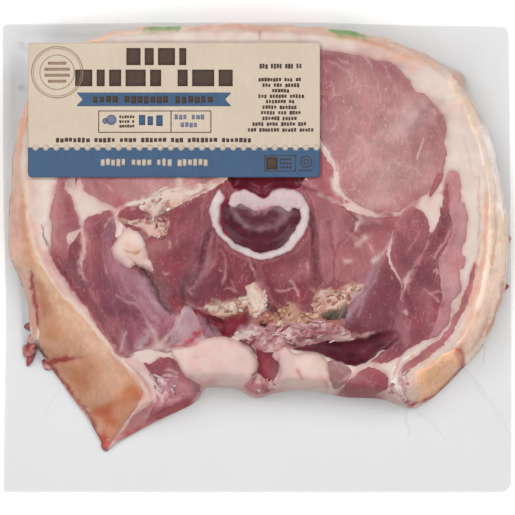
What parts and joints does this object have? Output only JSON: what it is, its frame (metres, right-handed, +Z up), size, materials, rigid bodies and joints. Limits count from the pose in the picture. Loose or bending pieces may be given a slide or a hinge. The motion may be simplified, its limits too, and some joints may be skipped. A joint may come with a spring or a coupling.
{
  "type": "vacuum packed meat cut",
  "caption": "Raw pork saddle chop with rind and backbone, sealed flat in a clear vacuum bag with a welded edge all round and a paper label stuck on top.",
  "frame": {"origin": "centre of the sealed bag's footprint, on the surface it lies on", "axes": "+X to the reader's right along the label's long side, +Y towards the label's top edge, +Z up through the shown side"},
  "size_m": [0.2546, 0.235, 0.0243],
  "materials": {
    "film": "clear glossy film drawn tight over raw pork",
    "label": "matt coated paper"
  },
  "bodies": {
    "root": {"sealed_bag": "film", "label": "label"}
  },
  "joints": []
}
